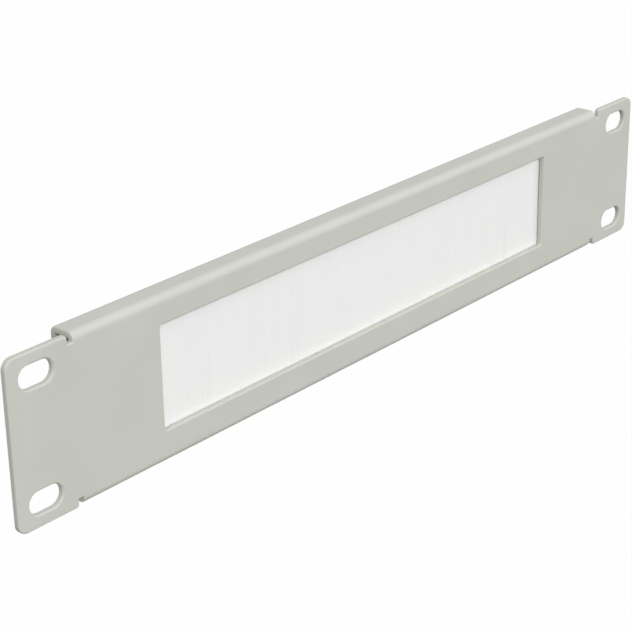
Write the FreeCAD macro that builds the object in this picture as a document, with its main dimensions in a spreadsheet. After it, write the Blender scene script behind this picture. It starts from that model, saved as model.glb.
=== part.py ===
import FreeCAD, Part
import math
import os
import re
import Sketcher
from FreeCAD import Vector

# Rack brush strip panel: one folded sheet with a long window, closed by a strip brush in its top fold.
# X runs along the panel, +Y goes into the rack and +Z is up. The origin is the centre of the four
# mounting slots on the rear face of the sheet, where the ears meet the rack's rails.

SIZES = {
    # folded sheet
    "panel_width": 254.0,
    "panel_height": 44.2,
    "sheet_thickness": 1.5,
    "bend_inside_radius": 0.5,
    "ear_width": 18.45,
    "fold_depth": 7.8,
    "lip_height": 7.0,
    "ear_corner_radius": 2.7,
    "ear_inner_radius": 0.9,
    "lip_corner_radius": 1.0,
    "relief_width": 1.6,
    "relief_past_bend": 0.2,
    "outer_edge_round": 0.45,
    # mounting slots
    "slot_from_end": 8.7375,
    "slot_from_edge": 6.225,
    "slot_length": 10.0,
    "slot_width": 6.0,
    "slot_rim_bevel": 0.4,
    # window
    "window_length": 159.4,
    "window_height": 28.0,
    "window_rise": 0.6,
    "window_corner_radius": 0.5,
    # strip brush
    "strip_end_gap": 6.95,
    "channel_height": 5.0,
    "channel_wall": 0.7,
    "channel_back_radius": 1.2,
    "crimp_height": 1.2,
    "neck_thickness": 2.6,
    "wire_diameter": 1.6,
    "root_clearance": 0.1,
    "tip_thickness": 4.4,
    "tip_overlap": 4.0,
    "tuft_pitch": 1.7,
    "tuft_relief": 0.22,
    "tip_gap_depth": 2.4,
    "tip_gap_share": 0.45,
}

# Places that several features share, as formulas of the sizes
BEND_RADIUS = "(bend_inside_radius + sheet_thickness)"
TOP = "panel_height / 2"
FRONT_FACE = "-sheet_thickness"
REAR_FACE = "0 * sheet_thickness"
LIP_OUTSIDE = "(fold_depth - sheet_thickness)"
LIP_INSIDE = "(fold_depth - 2 * sheet_thickness)"
FOLD_CEILING = "(panel_height / 2 - sheet_thickness)"
EAR_INNER = "(panel_width / 2 - ear_width)"
FOLD_END = "(panel_width / 2 - ear_width - relief_width)"
SLOT_ACROSS = "(panel_width / 2 - slot_from_end)"
SLOT_UP = "(panel_height / 2 - slot_from_edge)"
STRIP_END = "(%s - strip_end_gap)" % FOLD_END
LIP_END = "(panel_height / 2 - lip_height)"
RELIEF_END = "(panel_height / 2 - %s - relief_past_bend)" % BEND_RADIUS
CHANNEL_MOUTH = "(%s - channel_height)" % FOLD_CEILING
CHANNEL_MIDDLE = "(%s / 2)" % LIP_INSIDE
WINDOW_TOP = "(window_rise + window_height / 2)"
WINDOW_BOTTOM = "(window_rise - window_height / 2)"
ROOT_RADIUS = "(%s - channel_wall - root_clearance)" % CHANNEL_MIDDLE
WIRE_HEIGHT = "(%s - channel_wall - root_clearance - %s)" % (FOLD_CEILING, ROOT_RADIUS)
TIP_HEIGHT = "(%s - tip_overlap)" % WINDOW_BOTTOM

# Length of filament that is cut off when the tips are trimmed level
TRIM = 1.0

document = FreeCAD.newDocument("BrushStripPanel")
sheet = document.addObject("Spreadsheet::Sheet", "Sizes")
for row, (alias, number) in enumerate(SIZES.items(), start=1):
    sheet.set("A%d" % row, alias.replace("_", " "))
    sheet.set("B%d" % row, str(number))
    sheet.setAlias("B%d" % row, alias)
document.recompute()


def formula(text):
    """Point each size name in a formula at its cell."""
    return re.sub(r"[a-z][a-z_]+", lambda name: "Sizes." + name.group(), text)


def value(text):
    return float(sheet.evalExpression(formula(text)))


def bind(target, path, text):
    target.setExpression(path, formula(text))


def new_body(label):
    body = document.addObject("PartDesign::Body", label)
    body.Label = label
    return body


def new_sketch(body, name, role):
    planes = {feature.Role: feature for feature in body.Origin.OriginFeatures}
    sketch = body.newObject("Sketcher::SketchObject", name)
    sketch.AttachmentSupport = [(planes[role], "")]
    sketch.MapMode = "FlatFace"
    return sketch


def pin_point(sketch, geometry, point, place):
    """Hold one point of a sketch at two formulas, measured from the sketch's origin."""
    for kind, text in zip(("DistanceX", "DistanceY"), place):
        constraint = Sketcher.Constraint(kind, -1, 1, geometry, point, value(text))
        index = sketch.addConstraint(constraint)
        bind(sketch, "Constraints[%d]" % index, text)


def straight_outline(sketch, corners):
    """Draw a closed outline of straight lines through corners given as pairs of formulas."""
    points = [Vector(value(across), value(up), 0) for across, up in corners]
    first = sketch.GeometryCount
    count = len(points)
    for index in range(count):
        sketch.addGeometry(Part.LineSegment(points[index], points[(index + 1) % count]))
    for index in range(count):
        following = first + (index + 1) % count
        sketch.addConstraint(Sketcher.Constraint("Coincident", first + index, 2, following, 1))
    for index, place in enumerate(corners):
        pin_point(sketch, first + index, 1, place)


def slot_outline(sketch, middle_x, middle_z):
    """Draw one round-ended slot that runs along X."""
    left_place = ("%s - (slot_length - slot_width) / 2" % middle_x, middle_z)
    right_place = ("%s + (slot_length - slot_width) / 2" % middle_x, middle_z)
    left = Vector(value(left_place[0]), value(middle_z), 0)
    right = Vector(value(right_place[0]), value(middle_z), 0)
    radius = value("slot_width / 2")
    up = Vector(0, radius, 0)
    normal = Vector(0, 0, 1)
    quarter = math.pi / 2
    first = sketch.GeometryCount
    sketch.addGeometry(Part.ArcOfCircle(Part.Circle(left, normal, radius), quarter, 3 * quarter))
    sketch.addGeometry(Part.LineSegment(left - up, right - up))
    sketch.addGeometry(Part.ArcOfCircle(Part.Circle(right, normal, radius), -quarter, quarter))
    sketch.addGeometry(Part.LineSegment(right + up, left + up))
    for index in range(4):
        following = first + (index + 1) % 4
        sketch.addConstraint(Sketcher.Constraint("Tangent", first + index, 2, following, 1))
    pin_point(sketch, first, 3, left_place)
    pin_point(sketch, first + 2, 3, right_place)
    index = sketch.addConstraint(Sketcher.Constraint("Radius", first, radius))
    bind(sketch, "Constraints[%d]" % index, "slot_width / 2")


def pad_both_ways(body, name, sketch, length):
    pad = body.newObject("PartDesign::Pad", name)
    pad.Profile = sketch
    pad.Midplane = True
    bind(pad, "Length", length)
    document.recompute()
    return pad


def cut_through(body, name, sketch, base):
    """Cut a sketch through the whole sheet, and make sure that metal has gone."""
    pocket = body.newObject("PartDesign::Pocket", name)
    pocket.Profile = sketch
    pocket.Type = "Length"
    pocket.Midplane = True
    bind(pocket, "Length", "4 * sheet_thickness")
    document.recompute()
    if pocket.Shape.Volume >= base.Shape.Volume:
        raise RuntimeError(name + " cut nothing")
    return pocket


def edge_feature(body, kind, name, base, wanted):
    """Start a feature on the edges of another feature for which wanted(edge) is true."""
    feature = body.newObject("PartDesign::" + kind, name)
    edges = enumerate(base.Shape.Edges, start=1)
    feature.Base = (base, ["Edge%d" % index for index, edge in edges if wanted(edge)])
    return feature


def round_edges(body, name, base, wanted, radius):
    fillet = edge_feature(body, "Fillet", name, base, wanted)
    bind(fillet, "Radius", radius)
    document.recompute()
    return fillet


def bevel_edges(body, name, base, wanted, size):
    chamfer = edge_feature(body, "Chamfer", name, base, wanted)
    bind(chamfer, "Size", size)
    document.recompute()
    return chamfer


def close(first, second):
    return abs(first - second) < 1e-4


def runs_along(edge, axis):
    """Tell whether an edge is straight and parallel to an axis."""
    if edge.Curve.TypeId != "Part::GeomLine":
        return False
    return close(abs(edge.tangentAt(edge.FirstParameter).dot(axis)), 1)


X_AXIS = Vector(1, 0, 0)
Y_AXIS = Vector(0, 1, 0)
Z_AXIS = Vector(0, 0, 1)


def through_edges(places):
    """Pick cut corners, which run through the sheet, at places given as distance from the middle and height."""
    def wanted(edge):
        middle = edge.CenterOfMass
        here = [close(abs(middle.x), across) and close(middle.z, height) for across, height in places]
        return runs_along(edge, Y_AXIS) and any(here)
    return wanted


def sharp_edges(shape):
    """Pick the edges where two faces of a shape meet at a sharp angle."""
    def wanted(edge):
        faces = shape.ancestorsOfType(edge, Part.Face)
        if len(faces) != 2:
            return False
        middle = edge.valueAt((edge.FirstParameter + edge.LastParameter) / 2)
        normals = [face.normalAt(*face.Surface.parameter(middle)) for face in faces]
        return normals[0].getAngle(normals[1]) > math.radians(60)
    return wanted


def on_outer_skin(edge):
    """Tell whether an edge bounds the sheet's outer side: its front, the outside of its folds or its lip."""
    middle = edge.valueAt((edge.FirstParameter + edge.LastParameter) / 2)
    if close(middle.y, value(FRONT_FACE)) or close(middle.y, value(LIP_OUTSIDE)):
        return True
    if edge.Curve.TypeId == "Part::GeomCircle" and close(edge.Curve.Radius, value(BEND_RADIUS)):
        return True
    behind = middle.y > value(REAR_FACE) + value("sheet_thickness") / 10
    return behind and close(abs(middle.z), value(TOP))


def fold_section(body):
    """Pad the section of the sheet: face plate, top fold with its return lip, and bottom flange."""
    sketch = new_sketch(body, "fold_section", "YZ_Plane")
    straight_outline(sketch, [
        (FRONT_FACE, "-" + TOP),
        (LIP_OUTSIDE, "-" + TOP),
        (LIP_OUTSIDE, "-" + FOLD_CEILING),
        (REAR_FACE, "-" + FOLD_CEILING),
        (REAR_FACE, FOLD_CEILING),
        (LIP_INSIDE, FOLD_CEILING),
        (LIP_INSIDE, LIP_END),
        (LIP_OUTSIDE, LIP_END),
        (LIP_OUTSIDE, TOP),
        (FRONT_FACE, TOP),
    ])
    return pad_both_ways(body, "folded_strip", sketch, "2 * " + FOLD_END)


def bend_sheet(body, base):
    """Round the folds: the outside of each bend, then its inside."""
    def bend_at(edge, height, front_depth, lip_depth):
        middle = edge.CenterOfMass
        front = close(middle.y, front_depth)
        lip = close(middle.y, lip_depth) and middle.z > 0
        return runs_along(edge, X_AXIS) and close(abs(middle.z), height) and (front or lip)

    def outside(edge):
        return bend_at(edge, value(TOP), value(FRONT_FACE), value(LIP_OUTSIDE))

    def inside(edge):
        return bend_at(edge, value(FOLD_CEILING), value(REAR_FACE), value(LIP_INSIDE))

    bends = round_edges(body, "bends_outside", base, outside, BEND_RADIUS)
    return round_edges(body, "bends_inside", bends, inside, "bend_inside_radius")


def ears(body):
    """Add the face plate's ears, which reach past the folds beside the bend relief notches."""
    sketch = new_sketch(body, "ear_outlines", "XZ_Plane")
    for side in ("-", ""):
        root = side + "(%s - relief_width)" % FOLD_END
        inner = side + EAR_INNER
        outer = side + "panel_width / 2"
        straight_outline(sketch, [
            (root, "-" + RELIEF_END),
            (inner, "-" + RELIEF_END),
            (inner, "-" + TOP),
            (outer, "-" + TOP),
            (outer, TOP),
            (inner, TOP),
            (inner, RELIEF_END),
            (root, RELIEF_END),
        ])
    pad = body.newObject("PartDesign::Pad", "ears")
    pad.Profile = sketch
    bind(pad, "Length", "sheet_thickness")
    document.recompute()
    return pad


def window(body, base):
    sketch = new_sketch(body, "window_outline", "XZ_Plane")
    straight_outline(sketch, [
        ("-window_length / 2", WINDOW_BOTTOM),
        ("window_length / 2", WINDOW_BOTTOM),
        ("window_length / 2", WINDOW_TOP),
        ("-window_length / 2", WINDOW_TOP),
    ])
    return cut_through(body, "window", sketch, base)


def mounting_slots(body, base):
    sketch = new_sketch(body, "slot_outlines", "XZ_Plane")
    for side in ("-", ""):
        for level in ("-", ""):
            slot_outline(sketch, side + SLOT_ACROSS, level + SLOT_UP)
    return cut_through(body, "mounting_slots", sketch, base)


def round_outline(body, base):
    """Round the corners of the cut outline and of the window, then the cut edges on the sheet's outer side."""
    top = value(TOP)
    corners = (
        ("ear_corners", "panel_width / 2", (top, -top), "ear_corner_radius"),
        ("ear_inner_corners", EAR_INNER, (top, -top), "ear_inner_radius"),
        ("lip_corners", FOLD_END, (value(LIP_END),), "lip_corner_radius"),
        ("window_corners", "window_length / 2", (value(WINDOW_TOP), value(WINDOW_BOTTOM)),
         "window_corner_radius"),
    )
    for name, across, heights, radius in corners:
        places = [(value(across), height) for height in heights]
        base = round_edges(body, name, base, through_edges(places), radius)

    def flange_corner(edge):
        middle = edge.CenterOfMass
        at_rear = close(middle.y, value(LIP_OUTSIDE)) and middle.z < 0
        return runs_along(edge, Z_AXIS) and at_rear and close(abs(middle.x), value(FOLD_END))

    base = round_edges(body, "flange_corners", base, flange_corner, "lip_corner_radius")

    def slot_rim(edge):
        middle = edge.CenterOfMass
        across = abs(abs(middle.x) - value(SLOT_ACROSS)) <= value("slot_length") / 2
        up = abs(abs(middle.z) - value(SLOT_UP)) <= value("slot_width") / 2 + 1e-4
        return close(middle.y, value(FRONT_FACE)) and across and up

    base = bevel_edges(body, "slot_rims", base, slot_rim, "slot_rim_bevel")
    sharp = sharp_edges(base.Shape)

    def outer_edge(edge):
        return on_outer_skin(edge) and sharp(edge)

    return round_edges(body, "outer_edges", base, outer_edge, "outer_edge_round")


def make_folded_panel():
    body = new_body("folded_panel")
    bent = bend_sheet(body, fold_section(body))
    plate = ears(body)
    if plate.Shape.Volume <= bent.Shape.Volume:
        raise RuntimeError("the ears added nothing")
    opened = window(body, plate)
    drilled = mounting_slots(body, opened)
    body.Tip = round_outline(body, drilled)
    return body


def make_brush_channel():
    """A steel channel open downwards, its mouth crimped in until it grips the filaments."""
    body = new_body("brush_channel")
    sketch = new_sketch(body, "channel_section", "YZ_Plane")
    crimp = "(%s + crimp_height)" % CHANNEL_MOUTH
    ceiling = "(%s - channel_wall)" % FOLD_CEILING
    mouth_outside = "(neck_thickness / 2 + channel_wall)"
    inside = "(%s - channel_wall)" % CHANNEL_MIDDLE
    right = [
        (REAR_FACE, crimp),
        ("%s - %s" % (CHANNEL_MIDDLE, mouth_outside), CHANNEL_MOUTH),
        ("%s - neck_thickness / 2" % CHANNEL_MIDDLE, CHANNEL_MOUTH),
        ("%s - %s" % (CHANNEL_MIDDLE, inside), crimp),
        ("%s - %s" % (CHANNEL_MIDDLE, inside), ceiling),
    ]
    left = [
        ("%s + %s" % (CHANNEL_MIDDLE, inside), ceiling),
        ("%s + %s" % (CHANNEL_MIDDLE, inside), crimp),
        ("%s + neck_thickness / 2" % CHANNEL_MIDDLE, CHANNEL_MOUTH),
        ("%s + %s" % (CHANNEL_MIDDLE, mouth_outside), CHANNEL_MOUTH),
        (LIP_INSIDE, crimp),
    ]
    straight_outline(sketch, right + left + [(LIP_INSIDE, FOLD_CEILING), (REAR_FACE, FOLD_CEILING)])
    pad = pad_both_ways(body, "channel", sketch, "2 * " + STRIP_END)

    def back_edge(edge):
        return runs_along(edge, X_AXIS) and close(edge.CenterOfMass.z, value(FOLD_CEILING))

    body.Tip = round_edges(body, "channel_back", pad, back_edge, "channel_back_radius")
    return body


def make_core_wire():
    """The wire that the filaments are doubled over, inside the channel."""
    wire = document.addObject("Part::Cylinder", "core_wire")
    wire.Label = "core_wire"
    wire.Placement = FreeCAD.Placement(Vector(0, 0, 0), FreeCAD.Rotation(Y_AXIS, 90))
    bind(wire, "Radius", "wire_diameter / 2")
    bind(wire, "Height", "2 * " + STRIP_END)
    bind(wire, ".Placement.Base.x", "-" + STRIP_END)
    bind(wire, ".Placement.Base.y", CHANNEL_MIDDLE)
    bind(wire, ".Placement.Base.z", WIRE_HEIGHT)
    return wire


def ridged_outline(height, thickness, tufts):
    """A closed outline of the filaments at one height: a row of tufts, each standing proud to front and rear."""
    half = value(STRIP_END)
    middle = value(CHANNEL_MIDDLE)
    relief = value("tuft_relief")
    step = half / tufts
    front = []
    rear = []
    for index in range(2 * tufts + 1):
        reach = thickness / 2 - (relief if index % 2 == 0 else 0)
        front.append(Vector(-half + index * step, middle - reach, height))
        rear.append(Vector(-half + index * step, middle + reach, height))
    return Part.makePolygon(front + rear[::-1] + front[:1])


def tip_trimmer(tufts, tip):
    """The waste below the trimmed tips, with a narrow wedge that parts each tuft from the next."""
    half = value(STRIP_END)
    pitch = 2 * half / tufts
    gap = pitch * value("tip_gap_share") / 2
    below = tip - 2 * TRIM
    outline = [(-half - TRIM, tip)]
    for index in range(1, tufts):
        x = -half + index * pitch
        depth = value("tip_gap_depth") * (0.7 + 0.3 * math.sin(2.4 * index))
        outline += [(x - gap, tip), (x, tip + depth), (x + gap, tip)]
    outline += [(half + TRIM, tip), (half + TRIM, below), (-half - TRIM, below)]
    front = -value("fold_depth")
    points = [Vector(x, front, z) for x, z in outline + outline[:1]]
    return Part.Face(Part.makePolygon(points)).extrude(Vector(0, 3 * value("fold_depth"), 0))


def root_section():
    """The filaments inside the channel: doubled over the wire, then squeezed to the neck."""
    middle = value(CHANNEL_MIDDLE)
    wire_height = value(WIRE_HEIGHT)
    mouth = value(CHANNEL_MOUTH)
    crimp = mouth + value("crimp_height")
    bulge = value(ROOT_RADIUS)
    neck = value("neck_thickness / 2 - tuft_relief")
    x = -value(STRIP_END)

    def at(across, height):
        return Vector(x, middle + across, height)

    over_wire = Part.Arc(at(-bulge, wire_height), at(0, wire_height + bulge), at(bulge, wire_height))
    sides = Part.makePolygon([
        at(bulge, wire_height), at(bulge, crimp), at(neck, mouth),
        at(-neck, mouth), at(-bulge, crimp), at(-bulge, wire_height),
    ])
    return Part.Face(Part.Wire([over_wire.toShape()] + sides.Edges))


def make_bristle_pack():
    """The filaments, as one soft curtain of tufts that flares from the channel's mouth to its tips."""
    length = 2 * value(STRIP_END)
    tufts = max(2, round(length / value("tuft_pitch")))
    mouth = value(CHANNEL_MOUTH)
    tip = value(TIP_HEIGHT)
    upper = ridged_outline(mouth, value("neck_thickness"), tufts)
    lower = ridged_outline(tip - TRIM, value("tip_thickness"), tufts)
    curtain = Part.makeLoft([upper, lower], True, True).cut(tip_trimmer(tufts, tip))
    root = root_section().extrude(Vector(length, 0, 0))
    bore_start = Vector(-length / 2, value(CHANNEL_MIDDLE), value(WIRE_HEIGHT))
    bore_radius = value("wire_diameter / 2 + root_clearance")
    bore = Part.makeCylinder(bore_radius, length, bore_start, X_AXIS)
    pack = document.addObject("Part::Feature", "bristle_pack")
    pack.Label = "bristle_pack"
    pack.Shape = curtain.fuse(root.cut(bore)).Solids[0]
    return pack


def save(pieces):
    """Check every object of the document and write each piece to its own file."""
    document.recompute()
    for item in document.Objects:
        if "Invalid" in item.State or "Error" in item.State:
            raise RuntimeError("%s failed: %s" % (item.Label, item.State))
    os.makedirs("parts", exist_ok=True)
    for piece in pieces:
        shape = piece.Shape
        if shape.isNull() or not shape.isValid() or len(shape.Solids) != 1:
            raise RuntimeError(piece.Label + " is not one valid solid")
    for piece in pieces:
        piece.Shape.exportStep("parts/%s.step" % piece.Label)
        box = piece.Shape.BoundBox
        print(piece.Label, "volume %.1f" % piece.Shape.Volume, box)


save([make_folded_panel(), make_brush_channel(), make_core_wire(), make_bristle_pack()])
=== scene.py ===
import math
import random

import bpy
from mathutils import Matrix, Vector


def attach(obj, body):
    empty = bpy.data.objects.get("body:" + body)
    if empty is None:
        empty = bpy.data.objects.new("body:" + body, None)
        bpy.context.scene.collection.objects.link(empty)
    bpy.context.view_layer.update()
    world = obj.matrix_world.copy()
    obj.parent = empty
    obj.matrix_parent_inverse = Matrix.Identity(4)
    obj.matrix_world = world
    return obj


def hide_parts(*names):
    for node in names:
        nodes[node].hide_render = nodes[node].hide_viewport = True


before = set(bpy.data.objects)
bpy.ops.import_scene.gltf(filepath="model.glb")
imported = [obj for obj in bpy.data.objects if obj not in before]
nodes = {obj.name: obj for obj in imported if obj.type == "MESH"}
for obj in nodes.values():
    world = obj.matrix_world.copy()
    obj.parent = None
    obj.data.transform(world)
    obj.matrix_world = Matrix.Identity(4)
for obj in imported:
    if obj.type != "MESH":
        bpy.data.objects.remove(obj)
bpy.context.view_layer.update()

MM = 0.001
scene = bpy.context.scene

# Heights along the strip brush, in millimetres in the row frame
WIRE_Z = 18.2
ROOT_Z = 17.4
CRIMP_Z = 16.8
MOUTH_Z = 15.6
FLARE_Z = 13.0
BOW_Z = -2.0
CORE_Z = -14.5
TIP_Z = -17.4
BENDS_Z = (MOUTH_Z, FLARE_Z, BOW_Z)

# The curtain, in millimetres
STRIP_HALF = 100.0
MIDDLE_Y = 2.4
NECK = 2.6
TIP_THICKNESS = 4.4
EARLY_FLARE = 0.8

# The roots around the wire, in millimetres
ROOT_RADIUS = 1.6
BORE_RADIUS = 0.9
TUFT_RELIEF = 0.22
ROOTS_SETBACK = 0.05
ARC_STEPS = 16
LOWER_BORE_DEGREES = (200, 250, 290, 340)

# Single filaments, in millimetres
FILAMENT_SIDES = 3
RADIUS = 0.115
SPACING = 0.125
LEAN = 0.035
BOW = 0.01
TRIM = 0.35
SIDES_SEED = 7
ENDS_SEED = 3

# Rows of filaments, as shares of the curtain's half thickness
LAYERS = (1.0, 0.975, 0.95)
DEPTH_STEP = 0.001
DEPTH_LEVELS = 8
DEPTH_STRIDE = 5
DEPTH_JITTER = (0.2, 0.8)
INNER_LAYERS = (0.85, 0.68, 0.51, 0.34, 0.17)
INNER_SPREAD = 0.05
INNER_SPACING = 2 * SPACING
INNER_SETBACK = 0.4
END_LAYER_DEPTH = 2.0
END_COUNT = int(2 * MIDDLE_Y / SPACING)

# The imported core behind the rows, in millimetres
CORE_SECTIONS = 400
CORE_SHARE = 0.94
CORE_RUFFLE = 0.05
CORE_DROP = 0.8
CORE_SEED = 11

# The studio: heights in millimetres, places in metres, power in watts
FLOOR_Z = -22.1
FLOOR_REACH = 4.0
FLOOR_WHITE = 0.99
WORLD_LEVEL = 0.64
WHITE = (1, 1, 1, 1)
CAMERA_PLACE = (-0.3570, -0.2959, 0.1918)
CAMERA_LENS = 105.5


def new_material(name):
    """An empty material with its output and one principled shader."""
    material = bpy.data.materials.new(name)
    material.use_nodes = True
    tree = material.node_tree
    tree.nodes.clear()
    output = tree.nodes.new("ShaderNodeOutputMaterial")
    shader = tree.nodes.new("ShaderNodeBsdfPrincipled")
    tree.links.new(shader.outputs["BSDF"], output.inputs["Surface"])
    return material, tree, shader


def noise(tree, scale, detail, stretch=(1, 1, 1)):
    """Noise in object space: scale is in repeats per metre, stretched along the axes."""
    place = tree.nodes.new("ShaderNodeTexCoord")
    mapping = tree.nodes.new("ShaderNodeMapping")
    mapping.inputs["Scale"].default_value = stretch
    texture = tree.nodes.new("ShaderNodeTexNoise")
    texture.inputs["Scale"].default_value = scale
    texture.inputs["Detail"].default_value = detail
    tree.links.new(place.outputs["Object"], mapping.inputs["Vector"])
    tree.links.new(mapping.outputs["Vector"], texture.inputs["Vector"])
    return texture.outputs["Fac"]


def tone(tree, shader, factor, dark, light):
    """Colour a shader between dark and light, over the middle stretch of a factor."""
    node = tree.nodes.new("ShaderNodeValToRGB")
    stops = ((0.3, dark), (0.7, light))
    for element, (position, colour) in zip(node.color_ramp.elements, stops):
        element.position = position
        element.color = (*colour, 1)
    tree.links.new(factor, node.inputs["Fac"])
    tree.links.new(node.outputs["Color"], shader.inputs["Base Color"])


def gloss(tree, shader, factor, low, high):
    """Spread a shader's roughness from low to high over a factor of 0 to 1."""
    node = tree.nodes.new("ShaderNodeMapRange")
    node.inputs["To Min"].default_value = low
    node.inputs["To Max"].default_value = high
    tree.links.new(factor, node.inputs["Value"])
    tree.links.new(node.outputs["Result"], shader.inputs["Roughness"])


def bump(tree, shader, height, distance, strength):
    """Give a shader a relief: distance is its depth in metres."""
    node = tree.nodes.new("ShaderNodeBump")
    node.inputs["Distance"].default_value = distance
    node.inputs["Strength"].default_value = strength
    tree.links.new(height, node.inputs["Height"])
    tree.links.new(node.outputs["Normal"], shader.inputs["Normal"])


def powder_coat():
    """Warm light grey powder coat: a fine orange peel with barely uneven colour and gloss."""
    material, tree, shader = new_material("powder_coat")
    tone(tree, shader, noise(tree, 60, 3), dark=(0.535, 0.537, 0.492), light=(0.560, 0.562, 0.516))
    gloss(tree, shader, noise(tree, 900, 2), low=0.52, high=0.66)
    bump(tree, shader, noise(tree, 1400, 2), distance=0.00002, strength=0.5)
    shader.inputs["Specular IOR Level"].default_value = 0.25
    return material


def zinc_plate():
    """Zinc-plated strip steel with faint rolling lines along X."""
    material, tree, shader = new_material("zinc_plate")
    patches = noise(tree, 300, 3, (0.1, 1, 1))
    tone(tree, shader, patches, dark=(0.42, 0.43, 0.44), light=(0.52, 0.53, 0.54))
    gloss(tree, shader, noise(tree, 500, 2), low=0.3, high=0.45)
    bump(tree, shader, noise(tree, 2500, 2, (0.05, 1, 1)), distance=0.00001, strength=0.4)
    shader.inputs["Metallic"].default_value = 1.0
    return material


def drawn_wire():
    """Drawn steel wire with fine lines along X."""
    material, tree, shader = new_material("drawn_wire")
    lines = noise(tree, 400, 2, (0.05, 1, 1))
    tone(tree, shader, lines, dark=(0.40, 0.40, 0.41), light=(0.50, 0.50, 0.51))
    gloss(tree, shader, noise(tree, 800, 2, (0.1, 1, 1)), low=0.25, high=0.4)
    bump(tree, shader, noise(tree, 5000, 1, (0.02, 1, 1)), distance=0.000005, strength=0.4)
    shader.inputs["Metallic"].default_value = 1.0
    return material


def filament():
    """Pale nylon filaments: near white, each a touch lighter or darker, with a soft sheen."""
    material, tree, shader = new_material("nylon_filament")
    strands = noise(tree, 1500, 2, (1, 1, 0.02))
    tone(tree, shader, strands, dark=(0.83, 0.83, 0.825), light=(0.85, 0.85, 0.845))
    gloss(tree, shader, noise(tree, 900, 1), low=0.4, high=0.6)
    bump(tree, shader, noise(tree, 6000, 1, (1, 1, 0.03)), distance=0.00002, strength=0.3)
    shader.inputs["Specular IOR Level"].default_value = 0.3
    return material


def finish_node(name, material):
    """Give a CAD node its detailed material."""
    mesh = nodes[name].data
    mesh.materials.clear()
    mesh.materials.append(material)


def new_piece(name, build, material):
    """A new object whose mesh is the points and faces that build returns."""
    mesh = bpy.data.meshes.new(name)
    points, faces = build()
    mesh.from_pydata(points, [], faces)
    mesh.update()
    piece = bpy.data.objects.new(name, mesh)
    scene.collection.objects.link(piece)
    mesh.materials.append(material)
    return piece


def in_metres(x, y, z):
    return (MM * x, MM * y, MM * z)


def half_thickness(height):
    """Half the curtain's thickness: the neck, the flare below the channel's mouth, then nearly straight."""
    flared = EARLY_FLARE * (TIP_THICKNESS - NECK) / 2
    if height >= MOUTH_Z:
        return NECK / 2
    if height >= FLARE_Z:
        return NECK / 2 + flared * (MOUTH_Z - height) / (MOUTH_Z - FLARE_Z)
    rest = (TIP_THICKNESS - NECK) / 2 - flared
    return NECK / 2 + flared + rest * (FLARE_Z - height) / (FLARE_Z - TIP_Z)


def single_filament(points, faces, dice, root, share, facing, start_z):
    """One three-sided filament with a flat side outwards, from start_z down to its trimmed tip."""
    lean = dice.gauss(0, LEAN)
    bow = dice.gauss(0, BOW)
    tip = TIP_Z + abs(dice.gauss(0, TRIM))
    stations = [start_z] + [height for height in BENDS_Z if height < start_z] + [tip]
    start = len(points)
    for height in stations:
        down = max(0.0, (MOUTH_Z - height) / (MOUTH_Z - TIP_Z))
        x = root + lean * down + bow * math.sin(math.pi * down)
        x = max(-STRIP_HALF + RADIUS, min(STRIP_HALF - RADIUS, x))
        y = MIDDLE_Y + share * (half_thickness(height) - RADIUS)
        for corner in range(FILAMENT_SIDES):
            angle = facing + math.pi + corner * 2 * math.pi / FILAMENT_SIDES
            points.append(in_metres(x + RADIUS * math.cos(angle), y + RADIUS * math.sin(angle), height))
    last = start + FILAMENT_SIDES * (len(stations) - 1)
    for first in range(start, last, FILAMENT_SIDES):
        below = first + FILAMENT_SIDES
        for corner in range(FILAMENT_SIDES):
            following = (corner + 1) % FILAMENT_SIDES
            faces.append((first + corner, first + following, below + following, below + corner))
    faces.append(tuple(range(last, last + FILAMENT_SIDES)))


def stepped(dice, index):
    """A share just under one that differs between neighbours, to keep their flat sides out of one plane."""
    return 1 - DEPTH_STEP * (DEPTH_STRIDE * index % DEPTH_LEVELS + dice.uniform(*DEPTH_JITTER))


def filaments(side):
    """Rows of filaments on the front (-1) or rear (1) side, and the tips between them and the middle."""
    facing = side * math.pi / 2

    def build():
        dice = random.Random(SIDES_SEED + side)
        points = []
        faces = []
        for layer in LAYERS:
            first = -STRIP_HALF + 2 * RADIUS + dice.uniform(0, SPACING)
            for index in range(int((STRIP_HALF - 2 * RADIUS - first) / SPACING)):
                share = side * layer * stepped(dice, index)
                root = first + index * SPACING
                single_filament(points, faces, dice, root, share, facing, ROOT_Z)
        for layer in INNER_LAYERS:
            first = -STRIP_HALF + INNER_SETBACK + dice.uniform(0, INNER_SPACING)
            for index in range(int((STRIP_HALF - INNER_SETBACK - first) / INNER_SPACING)):
                share = side * (layer + dice.uniform(-INNER_SPREAD, INNER_SPREAD))
                root = first + index * INNER_SPACING
                single_filament(points, faces, dice, root, share, facing, CORE_Z)
        return points, faces
    return build


def end_filaments():
    """Rows of filaments across both ends of the curtain."""
    dice = random.Random(ENDS_SEED)
    points = []
    faces = []
    for end in (-1, 1):
        facing = (1 - end) * math.pi / 2
        for layer in LAYERS:
            for index in range(END_COUNT):
                share = LAYERS[-1] * (2 * (index + 0.5) / END_COUNT - 1)
                root = end * (STRIP_HALF * stepped(dice, index) - END_LAYER_DEPTH * (1 - layer))
                single_filament(points, faces, dice, root, share, facing, ROOT_Z)
    return points, faces


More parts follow.
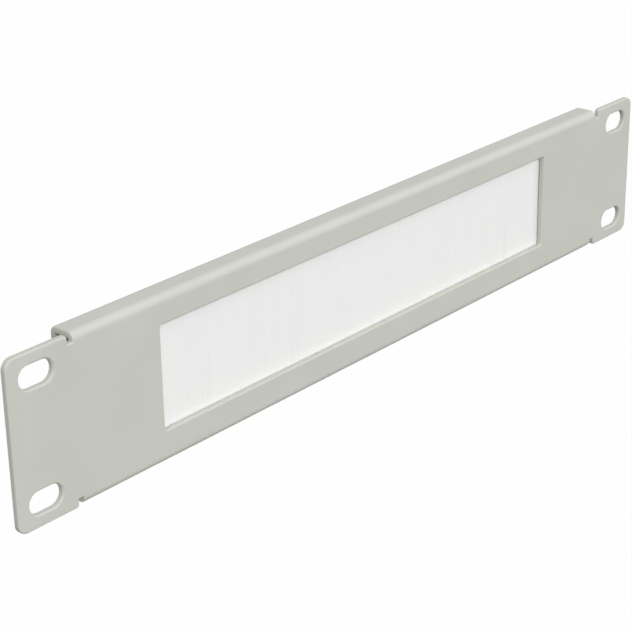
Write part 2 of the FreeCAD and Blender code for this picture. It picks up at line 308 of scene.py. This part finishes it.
def curtain_core():
    """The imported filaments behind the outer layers, down to an uneven trimmed edge."""
    dice = random.Random(CORE_SEED)
    points = []
    faces = []
    heights = (ROOT_Z, MOUTH_Z, FLARE_Z, CORE_Z)
    for index in range(CORE_SECTIONS + 1):
        x = (-1 + 2 * index / CORE_SECTIONS) * (STRIP_HALF - INNER_SETBACK)
        ruffle = dice.uniform(0, CORE_RUFFLE)
        for side in (-1, 1):
            for height in heights:
                reach = CORE_SHARE * half_thickness(height) - ruffle
                drop = dice.uniform(0, CORE_DROP) if height == CORE_Z else 0
                points.append(in_metres(x, MIDDLE_Y + side * reach, height - drop))
    ring = 2 * len(heights)
    loop = [*range(len(heights)), *reversed(range(len(heights), ring))]
    for index in range(CORE_SECTIONS):
        for step in range(ring):
            first = index * ring + loop[step]
            second = index * ring + loop[(step + 1) % ring]
            faces.append((first, first + ring, second + ring, second))
    faces.append(tuple(loop[::-1]))
    faces.append(tuple(CORE_SECTIONS * ring + corner for corner in loop))
    return points, faces


def around_wire(radius, angles):
    """Points of the roots' section at a radius from the wire, as (across, up)."""
    return [(radius * math.cos(angle), WIRE_Z + radius * math.sin(angle)) for angle in angles]


def wrapped_roots():
    """The filaments doubled over the core wire and squeezed to the neck, as one band along the channel."""
    upper = [math.pi * step / ARC_STEPS for step in range(ARC_STEPS + 1)]
    lower = [math.radians(degrees) for degrees in LOWER_BORE_DEGREES]
    band = around_wire(ROOT_RADIUS, upper)
    band += [(-ROOT_RADIUS, CRIMP_Z), (-NECK / 2 + TUFT_RELIEF, MOUTH_Z)]
    band += [(NECK / 2 - TUFT_RELIEF, MOUTH_Z), (ROOT_RADIUS, CRIMP_Z)]
    bore = around_wire(BORE_RADIUS, upper + lower)
    points = []
    for end in (-1, 1):
        for across, up in band + bore:
            points.append(in_metres(end * (STRIP_HALF - ROOTS_SETBACK), MIDDLE_Y + across, up))
    count = len(band)
    far = 2 * count
    faces = []
    for index in range(count):
        following = (index + 1) % count
        inner = count + index
        inner_following = count + following
        faces.append((index, following, far + following, far + index))
        faces.append((inner, far + inner, far + inner_following, inner_following))
        faces.append((index, inner, inner_following, following))
        faces.append((far + index, far + following, far + inner_following, far + inner))
    return points, faces


def math_node(tree, operation, first, second):
    """One maths node on two sockets."""
    node = tree.nodes.new("ShaderNodeMath")
    node.operation = operation
    tree.links.new(first, node.inputs[0])
    tree.links.new(second, node.inputs[1])
    return node.outputs[0]


def show_instead(tree, output, share, lit, shown):
    """Show a share of another shader to rays from the camera, from gloss and through glass only."""
    path = tree.nodes.new("ShaderNodeLightPath").outputs
    either = math_node(tree, "MAXIMUM", path["Is Camera Ray"], path["Is Glossy Ray"])
    any_ray = math_node(tree, "MAXIMUM", either, path["Is Transmission Ray"])
    part = tree.nodes.new("ShaderNodeMath")
    part.operation = "MULTIPLY"
    part.inputs[1].default_value = share
    tree.links.new(any_ray, part.inputs[0])
    mix = tree.nodes.new("ShaderNodeMixShader")
    tree.links.new(part.outputs[0], mix.inputs["Fac"])
    tree.links.new(lit, mix.inputs[1])
    tree.links.new(shown, mix.inputs[2])
    tree.links.new(mix.outputs[0], output.inputs["Surface"])


def make_floor():
    """A dark floor that looks white, so that it throws little light back up."""
    material, tree, shader = new_material("studio_floor")
    shader.inputs["Base Color"].default_value = (0.12, 0.12, 0.12, 1)
    shader.inputs["Roughness"].default_value = 0.9
    shader.inputs["Specular IOR Level"].default_value = 0.1
    glow = tree.nodes.new("ShaderNodeEmission")
    glow.inputs["Color"].default_value = WHITE
    output = next(node for node in tree.nodes if node.type == "OUTPUT_MATERIAL")
    show_instead(tree, output, FLOOR_WHITE, shader.outputs["BSDF"], glow.outputs["Emission"])
    mesh = bpy.data.meshes.new("studio_floor")
    signs = ((-1, -1), (1, -1), (1, 1), (-1, 1))
    corners = [(across * FLOOR_REACH, along * FLOOR_REACH, FLOOR_Z * MM) for across, along in signs]
    mesh.from_pydata(corners, [], [(0, 1, 2, 3)])
    mesh.materials.append(material)
    floor = bpy.data.objects.new("studio_floor", mesh)
    scene.collection.objects.link(floor)


def background(tree, strength):
    """White background light of one strength."""
    node = tree.nodes.new("ShaderNodeBackground")
    node.inputs["Strength"].default_value = strength
    node.inputs["Color"].default_value = WHITE
    return node.outputs[0]


def make_world():
    """Soft light from all round, behind a background that is plain white to the camera."""
    world = bpy.data.worlds.new("studio_world")
    scene.world = world
    world.use_nodes = True
    tree = world.node_tree
    tree.nodes.clear()
    output = tree.nodes.new("ShaderNodeOutputWorld")
    show_instead(tree, output, 1.0, background(tree, WORLD_LEVEL), background(tree, 1.0))


def area_light(name, place, size, power):
    """A round lamp that points at the middle of the object."""
    data = bpy.data.lights.new(name, "AREA")
    data.shape = "DISK"
    data.size = size
    data.energy = power
    lamp = bpy.data.objects.new(name, data)
    lamp.location = place
    lamp.rotation_euler = (-Vector(place)).to_track_quat("-Z", "Y").to_euler()
    scene.collection.objects.link(lamp)


def make_camera():
    """The photograph's camera, solved from the panel's known corners and slots."""
    data = bpy.data.cameras.new("camera")
    data.sensor_fit = "HORIZONTAL"
    data.sensor_width = 36.0
    data.lens = CAMERA_LENS
    data.clip_start = 0.01
    azimuth = math.radians(48.54)
    elevation = math.radians(23.53)
    roll = math.radians(-0.99)
    ahead = Vector((
        math.sin(azimuth) * math.cos(elevation),
        math.cos(azimuth) * math.cos(elevation),
        -math.sin(elevation),
    ))
    turn = ahead.to_track_quat("-Z", "Y").to_matrix() @ Matrix.Rotation(roll, 3, "Z")
    camera = bpy.data.objects.new("camera", data)
    camera.matrix_world = Matrix.Translation(CAMERA_PLACE) @ turn.to_4x4()
    scene.collection.objects.link(camera)
    scene.camera = camera


finish_node("folded_panel", powder_coat())
finish_node("brush_channel", zinc_plate())
finish_node("core_wire", drawn_wire())
nylon = filament()
finish_node("bristle_pack", nylon)

bristles = (
    ("front_filaments", filaments(-1)),
    ("rear_filaments", filaments(1)),
    ("end_filaments", end_filaments),
    ("bristle_core", curtain_core),
    ("bristle_roots", wrapped_roots),
)
for name, build in bristles:
    piece = new_piece(name, build, nylon)
    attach(piece, "root")
    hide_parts("bristle_pack")

make_floor()
make_world()
area_light("key", place=(-1.35, -2.5, 1.3), size=1.8, power=64)
area_light("fill", place=(1.3, -1.2, 1.1), size=1.2, power=8)
make_camera()
scene.view_settings.view_transform = "Standard"
